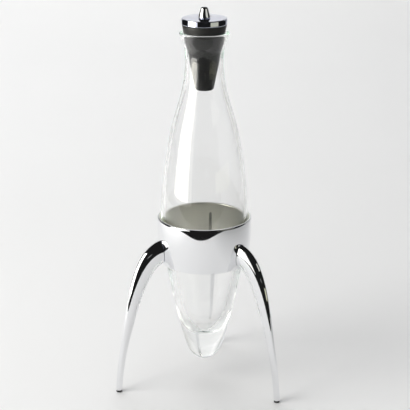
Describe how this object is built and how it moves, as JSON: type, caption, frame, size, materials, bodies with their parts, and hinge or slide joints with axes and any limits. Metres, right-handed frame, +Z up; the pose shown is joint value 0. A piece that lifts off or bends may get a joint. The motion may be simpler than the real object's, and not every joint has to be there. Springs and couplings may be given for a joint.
{
  "type": "footed decanter",
  "caption": "Pointed glass decanter that hangs in a chromed ring on curved legs, with a conical stopper under a flat metal cap and knob.",
  "frame": {"origin": "on the floor, under the middle of the whole object's bounding box; the glass's axis is a quarter of the foot circle's radius towards -Y from it", "axes": "+Z up, from the feet to the stopper's knob; the rear leg points along +Y and the two front legs to -Y, one on each side"},
  "size_m": [0.1674, 0.1457, 0.3884],
  "materials": {
    "chrome": "polished",
    "clear_glass": "clear, polished",
    "dark_rubber": "matte",
    "pale_rubber": "satin",
    "steel": "satin",
    "dark_plastic": "matte",
    "brass": "plain turned"
  },
  "bodies": {
    "stand": {"stand_ring": "chrome", "leg_left": "chrome", "leg_right": "chrome", "leg_rear": "chrome", "leg_screw_left": "steel", "leg_screw_right": "steel", "leg_screw_rear": "steel", "rest_strip_left": "pale_rubber", "rest_strip_right": "pale_rubber", "rest_strip_rear": "pale_rubber", "foot_pad_left": "dark_plastic", "foot_pad_right": "dark_plastic", "foot_pad_rear": "dark_plastic"},
    "vessel": {"glass_vessel": "clear_glass"},
    "stopper": {"stopper_plug": "dark_rubber", "stopper_nut": "brass", "stopper_cap": "chrome", "stopper_knob": "chrome"}
  },
  "joints": [
    {"name": "vessel_lift", "type": "slide", "parent": "stand", "child": "vessel", "axis": [0, 0, 1], "range_m": [0, 0.19]},
    {"name": "stopper_lift", "type": "slide", "parent": "vessel", "child": "stopper", "axis": [0, 0, 1], "range_m": [0, 0.08]}
  ]
}
